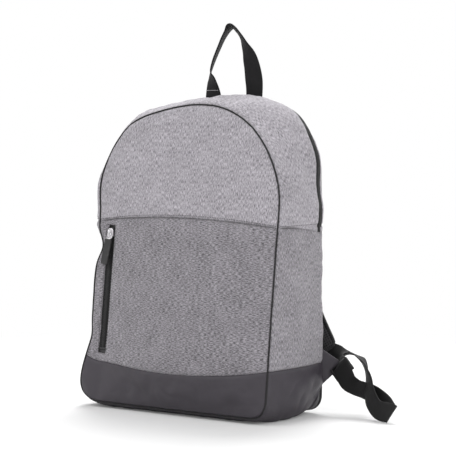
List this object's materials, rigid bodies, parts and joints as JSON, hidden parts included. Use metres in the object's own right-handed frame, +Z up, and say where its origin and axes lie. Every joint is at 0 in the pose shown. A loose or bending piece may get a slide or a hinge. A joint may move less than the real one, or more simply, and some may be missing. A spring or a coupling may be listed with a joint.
{
  "type": "daypack",
  "caption": "Arched daypack with a zipped main compartment, a zipped front pocket, a coated base band, a carry handle and padded shoulder straps.",
  "frame": {"origin": "centre of the flat base, on the floor", "axes": "+X to the bag's side, on the right as its front is seen; -Y to the front; +Y to the back panel and straps; +Z up"},
  "size_m": [0.4895, 0.195, 0.4985],
  "materials": {
    "heather_grey": "heather grey woven polyester",
    "coated_base": "fine coated weave, slight sheen",
    "black_piping": "black bound piping",
    "black_webbing": "ribbed black webbing",
    "strap_padding": "dark padded fabric",
    "zip_tape": "woven zip tape",
    "zip_coil": "black nylon coil",
    "slider_metal": "dark polished cast slider",
    "pull_rubber": "moulded matt black rubber",
    "buckle_plastic": "black acetal",
    "lining": "thin plain lining",
    "back_mesh": "spacer mesh",
    "back_foam": "soft foam sheet"
  },
  "bodies": {
    "pack": {"piping_lower": "black_piping", "base_gusset": "coated_base", "side_panel_left": "heather_grey", "side_panel_right": "heather_grey", "gusset_back": "heather_grey", "main_zip_tape_back": "zip_tape", "main_zip_coil_back": "zip_coil", "back_panel": "back_mesh", "back_foam": "back_foam", "strap_patch": "black_webbing", "base_front": "coated_base", "pocket_panel": "heather_grey", "pocket_strip": "black_webbing", "pocket_back_wall": "lining", "pocket_zip_tape_left": "zip_tape", "pocket_zip_tape_right": "zip_tape", "pocket_zip_coil": "zip_coil", "lining_body": "lining", "handle_anchor_left": "black_webbing", "handle_anchor_right": "black_webbing", "wing_tab_left": "coated_base", "wing_tab_right": "coated_base", "ladder_lock_left": "buckle_plastic", "ladder_lock_right": "buckle_plastic", "webbing_loop_left": "black_webbing", "webbing_loop_right": "black_webbing"},
    "flap": {"front_upper": "heather_grey", "gusset_front": "heather_grey", "piping_upper": "black_piping", "main_zip_tape_front": "zip_tape", "main_zip_coil_front": "zip_coil", "lining_flap": "lining"},
    "main_slider": {"main_slider": "slider_metal"},
    "main_pull": {"main_pull": "pull_rubber"},
    "pocket_slider": {"pocket_slider": "slider_metal"},
    "pocket_pull": {"pocket_pull": "pull_rubber"},
    "carry_handle": {"carry_handle": "black_webbing"},
    "strap_left": {"strap_pad_left": "strap_padding", "strap_webbing_left": "black_webbing"},
    "strap_right": {"strap_pad_right": "strap_padding", "strap_webbing_right": "black_webbing"}
  },
  "joints": [
    {"name": "flap_open", "type": "hinge", "parent": "pack", "child": "flap", "pos_m": [0, -0.03485, 0.242], "axis": [1, 0, 0], "range_deg": [0, 45]},
    {"name": "main_slider_travel", "type": "hinge", "parent": "flap", "child": "main_slider", "pos_m": [-0.04, 0.054, 0.28844], "axis": [0, 1, 0], "range_deg": [-2, 48]},
    {"name": "main_pull_swing", "type": "hinge", "parent": "main_slider", "child": "main_pull", "pos_m": [-0.1481, 0.054, 0.2998], "axis": [0, 1, 0], "range_deg": [0, 160]},
    {"name": "pocket_slider_travel", "type": "slide", "parent": "pack", "child": "pocket_slider", "axis": [0, 0.1357, 0.9907], "range_m": [-0.144, 0]},
    {"name": "pocket_pull_swing", "type": "hinge", "parent": "pocket_slider", "child": "pocket_pull", "pos_m": [-0.122, -0.0407, 0.2265], "axis": [-1, 0, 0], "range_deg": [0, 110]},
    {"name": "handle_fold", "type": "hinge", "parent": "pack", "child": "carry_handle", "pos_m": [0, 0.0665, 0.4068], "axis": [1, 0, 0], "range_deg": [-65, 65]},
    {"name": "strap_left_swing", "type": "hinge", "parent": "pack", "child": "strap_left", "pos_m": [0, 0.0703, 0.372], "axis": [1, 0, 0], "range_deg": [0, 40]},
    {"name": "strap_right_swing", "type": "hinge", "parent": "pack", "child": "strap_right", "pos_m": [0, 0.0703, 0.372], "axis": [1, 0, 0], "range_deg": [0, 40]}
  ]
}
